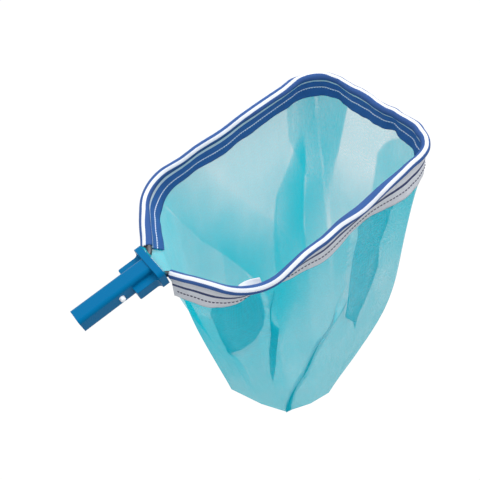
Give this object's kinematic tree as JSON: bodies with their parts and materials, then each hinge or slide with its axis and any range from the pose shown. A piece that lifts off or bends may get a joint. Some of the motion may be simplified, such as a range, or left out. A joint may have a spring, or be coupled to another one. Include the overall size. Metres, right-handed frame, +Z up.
{
  "type": "leaf skimmer net",
  "caption": "Deep-bag pool leaf net: a bent tube hoop in a webbing band, a mesh bag hung from it, and a yoke with a snap-button spigot for a telescopic pole.",
  "frame": {"origin": "on the axis of the spigot, in the plane of the lugs' back faces where the end of the pole stops", "axes": "+X along the pole towards the front of the net, +Y to the left of the net seen from the pole, +Z up out of the mouth of the bag"},
  "size_m": [0.4629, 0.2554, 0.4099],
  "materials": {
    "yoke_plastic": "glossy moulded, clear blue",
    "tube": "bare drawn tube",
    "steel": "stainless screws",
    "spring_steel": "stainless strip",
    "button_plastic": "glossy white",
    "webbing": "navy woven webbing with white stripes",
    "mesh": "fine turquoise mesh, see-through",
    "label": "plain white woven label, blank"
  },
  "bodies": {
    "net_head": {"yoke": "yoke_plastic", "rim_hoop": "tube", "hoop_screws": "steel", "snap_spring": "spring_steel", "rim_band": "webbing", "net_bag": "mesh", "blank_label": "label"},
    "button_right": {"snap_button_right": "button_plastic"},
    "button_left": {"snap_button_left": "button_plastic"}
  },
  "joints": [
    {"name": "button_right_press", "type": "slide", "parent": "net_head", "child": "button_right", "axis": [0, 1, 0], "range_m": [0, 0.0045], "stiffness_N_per_m": 800, "springref_m": -0.003, "deforming": ["snap_spring"]},
    {"name": "button_left_press", "type": "slide", "parent": "net_head", "child": "button_left", "axis": [0, -1, 0], "range_m": [0, 0.0045], "stiffness_N_per_m": 800, "springref_m": -0.003, "deforming": ["snap_spring"]}
  ]
}
